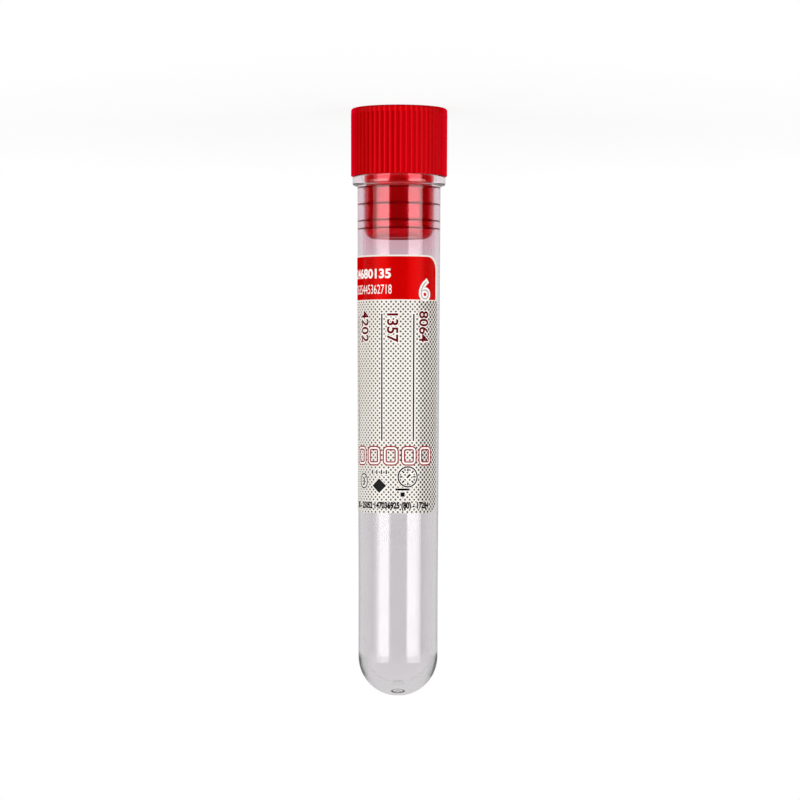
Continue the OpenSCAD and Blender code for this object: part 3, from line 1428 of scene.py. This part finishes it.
@dataclass(frozen=True)
class Marks:
    """Plain marks: a ring with a digit, a diamond below a scale, and a dial over two bars.

    Attributes:
        ring: Middle of the ring, across and up the label, in mm, like every place here.
        ring_size: Width and height of the ring, and radius of its corners.
        ring_half_line: Half the width of its line.
        digit: The digit in the ring.
        diamond: Middle of the diamond.
        diamond_reach: Its half width and half height.
        scale: Places across of the scale's lines.
        scale_span: Heights of their ends.
        thin: Width of the lines of the scale and of the dial's ticks.
        dial: Middle of the dial.
        dial_d: Diameter of the dial.
        dial_corner: Radius of its outline's corners, a little less than half of that.
        dial_half_line: Half the width of its line.
        ticks: Number of its ticks.
        tick_span: Distances of their ends from its middle.
        hand: Places of the hand's ends along its diagonal, on both axes.
        hand_w: Width of the hand.
        bars: The bars: their ends across, their height and their width.
    """

    ring: tuple[float, float] = (-7.9, 41.25)
    ring_size: tuple[float, float, float] = (2.2, 2.7, 1.09)
    ring_half_line: float = 0.13
    digit: Digits = Digits("3", (-8.45, 40.5), 1.5, swell=0.05)
    diamond: tuple[float, float] = (-3.85, 40.4)
    diamond_reach: tuple[float, float] = (1.5, 1.4)
    scale: tuple[float, ...] = (-5.35, -4.35, -3.35, -2.35)
    scale_span: tuple[float, float] = (42.6, 43.4)
    thin: float = 0.3
    dial: tuple[float, float] = (1.85, 42.1)
    dial_d: float = 3.8
    dial_corner: float = 1.89
    dial_half_line: float = 0.14
    ticks: int = 8
    tick_span: tuple[float, float] = (1.05, 1.6)
    hand: tuple[float, float] = (-0.2, 0.5)
    hand_w: float = 0.36
    bars: tuple[tuple[float, float, float, float], ...] = ((-0.6, 2.2, 39.7, 0.4), (0.4, 1.25, 38.75, 0.85))

    def draw(self, layer: Layer, grow: float) -> None:
        """Draws the marks.

        Args:
            layer: The layer to draw on.
            grow: How much further each stroke reaches on every side, in mm.
        """
        edge = self.ring_half_line + grow
        layer.band(rounded_loop(*self.ring_size), edge, -edge, self.ring)
        layer.digits(self.digit, grow)
        tips = np.array([(-1, 0), (0, -1), (1, 0), (0, 1)])
        layer.plate(tips * self.diamond_reach * (1 + grow), self.diamond)
        low, high = self.scale_span
        for across in self.scale:
            layer.bar((across, low), (across, high), self.thin, grow)
        self.draw_dial(layer, grow)
        for left, right, height, width in self.bars:
            layer.bar((left, height), (right, height), width, grow)

    def draw_dial(self, layer: Layer, grow: float) -> None:
        """Draws the dial with its ticks and its hand.

        Args:
            layer: The layer to draw on.
            grow: How much further each stroke reaches on every side, in mm.
        """
        edge, centre = self.dial_half_line + grow, np.array(self.dial)
        layer.band(rounded_loop(self.dial_d, self.dial_d, self.dial_corner), edge, -edge, centre)
        for turn in np.linspace(0, 2 * np.pi, self.ticks, endpoint=False):
            way = np.array([math.cos(turn), math.sin(turn)])
            layer.bar(*(centre + reach * way for reach in self.tick_span), self.thin, grow)
        layer.bar(centre + self.hand[0] - grow, centre + self.hand[1] + grow, self.hand_w + 2 * grow)


@dataclass
class LabelPrint:
    """The generic print of the label, layer by layer.

    Places are across and up the label, and they and all sizes are in mm.
    """

    label: Label
    white: Ink = Ink("ink_white", (0.84, 0.80, 0.77))
    grey: Ink = Ink("ink_grey", (0.42, 0.38, 0.37))
    black: Ink = Ink("ink_black", (0.008, 0.007, 0.007), level=0.05)
    dark_red: Ink = Ink("ink_dark_red", (0.11, 0.002, 0.006), level=0.05)
    red: Ink = Ink("ink_red", (0.26, 0.003, 0.012), level=0.05)
    header_red: Ink = Ink("ink_header", (0.49, 0.0004, 0.0004), 0.06, (1.0, 0.01, 0.01), 1.0)

    header_right: float = 8.43
    header_low: float = 75.8
    header_high: float = 84.0
    header_round: float = 2.6
    header_margin: float = 0.5
    title_rows: tuple[Digits, ...] = (
        Digits("24680135", (-11.55, 79.92), 1.76, 1.05, 0.08),
        Digits("908172635445362718", (-14.9, 76.9), 1.84, 0.60),
    )
    big_digit: Digits = Digits("6", (3.95, 75.75), 4.0, 0.98)
    big_swells: tuple[float, float] = (0.26, -0.12)
    captions: tuple[tuple[str, float], ...] = (("4202", -8.45), ("1357", -2.16), ("8064", 4.1))
    caption_top: float = 73.7
    caption_h: float = 2.15
    caption_squeeze: float = 1.02
    caption_swell: float = 0.07
    lines: tuple[float, ...] = (-73.0, -23.8, 21.2)
    line_low: float = 48.9
    line_high: float = 73.1
    line_w: float = 0.31
    line_halo: float = 1.25
    fine: Digits = Digits("30 - 25052 147036925 (80) - 17284", (-10.6, 36.12), 1.2, 0.72, 0.1)
    halo: float = 0.16
    mark_halo: float = 0.12
    fine_halo: float = 0.1
    base_lift: float = 0.003
    under_lift: float = 0.008
    ink_lift: float = 0.013

    def header(self) -> Piece:
        """The red band across the top, with a round upper right corner.

        Returns:
            The band.
        """
        layer = Layer("header_band", self.header_red, self.base_lift)
        left = self.label.across(self.label.right - self.label.wrap) + self.header_margin
        right, high, r = self.header_right, self.header_high, self.header_round
        low = [(left, self.header_low), (right, self.header_low)]
        layer.plate(run(low, arc((right - r, high - r), r, 0, 90, 14), [(left, high)]))
        return layer.finish(self.label)

    def title(self) -> list[Piece]:
        """White digits on the header, the last of them large and filled with grey.

        Returns:
            The digits and the filling.
        """
        bold = Layer("header_digits", self.white, self.under_lift)
        for row in self.title_rows:
            bold.digits(row)
        bold.digits(self.big_digit, self.big_swells[0])
        fill = Layer("header_digit_fill", self.grey, self.ink_lift)
        fill.digits(self.big_digit, self.big_swells[1])
        return [bold.finish(self.label), fill.finish(self.label)]

    def pair(self, names: tuple[str, str], ink: Ink, halo: float,
             draw: Callable[[Layer, float], None]) -> list[Piece]:
        """Prints strokes over a white halo that keeps them clear of the dots.

        Args:
            names: Names of the halo and of the strokes.
            ink: Ink of the strokes.
            halo: How much further the halo reaches, in mm.
            draw: Draws the strokes on a layer, further on every side by a given amount.

        Returns:
            The two pieces.
        """
        under = Layer(names[0], self.white, self.under_lift)
        draw(under, halo)
        over = Layer(names[1], ink, self.ink_lift)
        draw(over, 0.0)
        return [under.finish(self.label), over.finish(self.label)]

    def draw_captions(self, layer: Layer, grow: float) -> None:
        """Draws the digits that are read downward beside the write-in lines.

        Args:
            layer: The layer to draw on.
            grow: How much further their outline is widened.
        """
        for text, across in self.captions:
            row = Digits(text, (across, self.caption_top), self.caption_h, self.caption_squeeze,
                         self.caption_swell, Turn.DOWNWARD)
            layer.digits(row, grow)

    def draw_lines(self, layer: Layer, grow: float) -> None:
        """Draws the thin write-in lines, whose halo reaches a little further at their ends.

        Args:
            layer: The layer to draw on.
            grow: How much further each line reaches on either side.
        """
        reach = self.line_halo * grow
        for across in map(self.label.across, self.lines):
            layer.bar((across, self.line_low - reach), (across, self.line_high + reach),
                      self.line_w + 2 * grow)

    def draw_fine(self, layer: Layer, grow: float) -> None:
        """Draws the row of small digits along the lower edge."""
        layer.digits(self.fine, grow)

    def boxes(self) -> list[Piece]:
        """The boxes, white between red outlines.

        Returns:
            Their bodies and their outlines.
        """
        bodies = Layer("box_bodies", self.white, self.under_lift)
        outlines = Layer("box_outlines", self.red, self.ink_lift)
        Boxes().draw(bodies, outlines)
        return [bodies.finish(self.label), outlines.finish(self.label)]

    def build(self) -> list[Piece]:
        """Builds every layer.

        Returns:
            The pieces of print.
        """
        return [
            self.header(), *self.title(),
            *self.pair(("caption_halo", "caption_digits"), self.dark_red, self.halo, self.draw_captions),
            *self.pair(("write_in_clear", "write_in_lines"), self.black, self.halo, self.draw_lines),
            *self.boxes(),
            *self.pair(("marks_clear", "plain_marks"), self.black, self.mark_halo, Marks().draw),
            *self.pair(("fine_clear", "fine_digits"), self.black, self.fine_halo, self.draw_fine),
        ]


# ---------------------------------------------------------------- studio


@dataclass(frozen=True)
class Softbox:
    """A lamp that stands upright on the floor.

    Attributes:
        name: Name of the lamp.
        angle: Its direction in degrees, from the camera towards the picture's right.
        spread: The angle in degrees that it fills across.
        radiance: How bright it is, where 1 is white.
    """

    name: str
    angle: float
    spread: float
    radiance: float


@dataclass(frozen=True)
class Matt:
    """A dull finish of the studio's own pieces.

    Attributes:
        name: Name of the material.
        shades: Its darkest and its palest shade.
        grain: Grains per metre.
        rough: Roughness.
    """

    name: str
    shades: tuple[float, float]
    grain: float
    rough: float

    def graph(self) -> Graph:
        """Starts the material's nodes.

        Returns:
            The nodes, with the shader fed.
        """
        g = Graph(self.name)
        dark, pale = ((shade,) * 3 for shade in self.shades)
        g.set(Base_Color=g.blend(g.noise(g.place(), self.grain), dark, pale), Roughness=self.rough,
              Specular_IOR_Level=0.0)
        return g


@dataclass
class Studio:
    """Floor, light and camera. Lengths are in metres, angles in degrees from the camera's side."""

    stand: Stand
    eye_height: float = 56.7
    eye_distance: float = 0.577
    lens: float = 134.9
    eye_side: float = -0.00028
    roll: float = -0.13
    lamps: tuple[Softbox, ...] = (
        Softbox("left_softbox", -46.2, 36.6, 3.7),
        Softbox("left_edge_softbox", -70.5, 11.0, 1.2),
        Softbox("right_softbox", 47.3, 40.6, 3.6),
        Softbox("rear_left_softbox", -138.0, 34.0, 1.0),
        Softbox("rear_right_softbox", 138.0, 34.0, 1.0),
    )
    lamp_distance: float = 0.2
    lamp_top: float = 0.157
    floor_gap: float = 0.002
    ambient: float = 0.5
    mirror_level: float = 0.4
    inner_level: float = 0.8
    floor_rings: tuple[float, ...] = (0.1, 0.25, 0.6, 6.0)
    floor_columns: int = 64
    floor_finish: Matt = Matt("pale_floor", (0.90, 0.92), 300.0, 0.9)
    glow_reach: tuple[float, float] = (0.03, 0.2)
    glow_share: tuple[float, float] = (0.85, 1.0)
    flag_reach: float = 105.0
    flag_section: tuple[tuple[float, float], ...] = ((0.012, 0.001), (0.9, 0.001), (0.9, 0.3))
    flag_columns: int = 49
    flag_finish: Matt = Matt("dark_card", (0.004, 0.008), 40.0, 1.0)

    def camera(self) -> None:
        """Adds a camera level with the middle, turned over as the object is: the stopper shows on top."""
        data = bpy.data.cameras.new("camera")
        data.lens = self.lens
        data.sensor_width = 36.0
        data.clip_start = 0.01
        made = linked("camera", data)
        eye = Vector((self.eye_side, -self.eye_distance, (self.stand.top - self.eye_height) * MM))
        over = Matrix.Rotation(math.radians(180 + self.roll), 4, "Y")
        made.matrix_world = Matrix.Translation(eye) @ over @ Matrix.Rotation(math.radians(90), 4, "X")
        bpy.context.scene.camera = made

    def lamp(self, box: Softbox) -> None:
        """Adds a softbox that faces the axis and reaches down to the floor.

        Its power is pi times its area times its radiance.

        Args:
            box: The softbox.
        """
        data = bpy.data.lights.new(box.name, "AREA")
        data.shape = "RECTANGLE"
        data.size = 2 * self.lamp_distance * math.tan(math.radians(box.spread / 2))
        data.size_y = self.lamp_top - self.floor_gap
        data.energy = math.pi * data.size * data.size_y * box.radiance
        made = linked(box.name, data)
        turn = math.radians(-box.angle)
        way = Vector((math.sin(turn), -math.cos(turn), 0.0))
        made.location = way * self.lamp_distance + Vector((0, 0, self.floor_gap + data.size_y / 2))
        made.rotation_euler = (math.radians(90), 0, turn)
        made.visible_camera = False
        made.visible_transmission = made.visible_glossy = abs(box.angle) < 90
        self.hide_behind_wall(data)

    @staticmethod
    def hide_behind_wall(data: bpy.types.Light) -> None:
        """Leaves a lamp dark to rays that come straight through the clear wall, as it is to the camera.

        Those rays have passed into the wall, and were neither mirrored nor scattered.

        Args:
            data: The lamp.
        """
        data.use_nodes = True
        n = Nodes(data.node_tree)
        path = n.path()
        lit = n.bounced(n.math("ADD", path["Glossy Depth"], path["Diffuse Depth"]))
        direct = n.math("LESS_THAN", path["Transmission Depth"], 0.5)
        n.feed(n.tree.nodes["Emission"].inputs["Strength"], n.math("MAXIMUM", lit, direct))

    def level(self, n: Nodes, glow: float) -> Socket:
        """How bright a white surface looks to each kind of ray.

        It is 1 for camera and transmission rays, a little less once they have been
        mirrored inside the plastic, and less again for reflections.

        Args:
            n: The nodes to add to.
            glow: The level for the light that falls on things.

        Returns:
            The level.
        """
        path = n.path()
        inner = n.math("MULTIPLY", n.bounced(path["Glossy Depth"]), 1 - self.inner_level)
        through = n.math("SUBTRACT", path["Is Transmission Ray"], inner)
        mirrored = n.math("MULTIPLY", path["Is Glossy Ray"], self.mirror_level)
        most = n.math("MAXIMUM", n.math("MAXIMUM", path["Is Camera Ray"], through), mirrored)
        return n.math("MAXIMUM", most, glow)

    def sky(self) -> None:
        """Adds a world that is white where it is seen and a plain soft light elsewhere."""
        world = bpy.data.worlds.new("studio")
        world.use_nodes = True
        bpy.context.scene.world = world
        n = Nodes(world.node_tree)
        background = n.tree.nodes["Background"].inputs
        n.feed(background["Color"], (1.0, 1.0, 1.0))
        n.feed(background["Strength"], self.level(n, self.ambient))

    def floor(self) -> None:
        """Adds a wide pale floor that keeps a soft shadow near the object.

        Its glow, a share that grows from near to far, makes it white where it is seen.
        """
        rings, count = np.array(self.floor_rings), self.floor_columns
        a = 2 * np.pi * np.arange(count) / count
        x, y = np.outer(rings, np.cos(a)), np.outer(rings, np.sin(a))
        points = np.concatenate([np.stack([x, y, 0 * x], -1).reshape(-1, 3), [[0, 0, 0]]])
        quads = grid_quads(len(rings), count, True)[:, ::-1]
        piece = new_object("floor", points, quads.tolist() + fan(count, len(rings) * count).tolist())
        g = self.floor_finish.graph()
        glow = g.node("ShaderNodeEmission", {"Color": (1.0, 1.0, 1.0), "Strength": 1.0})
        here = g.node("ShaderNodeTexCoord", {}).outputs["Object"]
        reach = g.node("ShaderNodeVectorMath", {0: here}, operation="LENGTH").outputs["Value"]
        far = g.ramp(reach, *self.glow_reach, *self.glow_share)
        g.show(g.math("MULTIPLY", self.level(g, 0.0), far), g.shader, glow)
        piece.data.materials.append(g.material)

    def flag(self) -> None:
        """Adds a dark card round the camera's side, seen only in reflections, which keeps colours deep.

        It runs along the floor from near the object and then up behind the camera.
        """
        reach, height = np.array(self.flag_section).T
        a = np.radians(np.linspace(-self.flag_reach, self.flag_reach, self.flag_columns))
        points = np.stack([np.outer(reach, np.sin(a)), -np.outer(reach, np.cos(a)),
                           np.repeat(height[:, None], len(a), axis=1)], -1)
        piece = new_object("flag", points, grid_quads(len(reach), len(a), False).tolist())
        g = self.flag_finish.graph()
        clear = g.node("ShaderNodeBsdfTransparent", {})
        g.show(g.bounced(g.path()["Glossy Depth"]), clear, g.shader)
        piece.data.materials.append(g.material)
        piece.visible_camera = piece.visible_diffuse = piece.visible_shadow = False

    def build(self) -> None:
        """Sets the stage."""
        bpy.context.scene.view_settings.view_transform = "Standard"
        self.camera()
        for box in self.lamps:
            self.lamp(box)
        self.sky()
        self.floor()
        self.flag()


def report(pieces: Iterable[Piece]) -> None:
    """Logs the size of each piece."""
    for piece in pieces:
        log.info("%s: %d faces", piece.name, len(piece.data.polygons))


def main() -> None:
    """Builds the tube, its stopper, its label and print, and the studio round them."""
    logging.basicConfig(level=logging.INFO, format="%(name)s: %(message)s")
    stand = Stand.from_frame()
    tube = Tube(stand)
    label = Label(stand, tube)
    for part in (tube, Stopper(stand, tube), label):
        piece = part.build()
        part.dress(piece)
        report([piece])
    report(LabelPrint(label).build())
    Studio(stand).build()


if __name__ == "__main__":
    main()
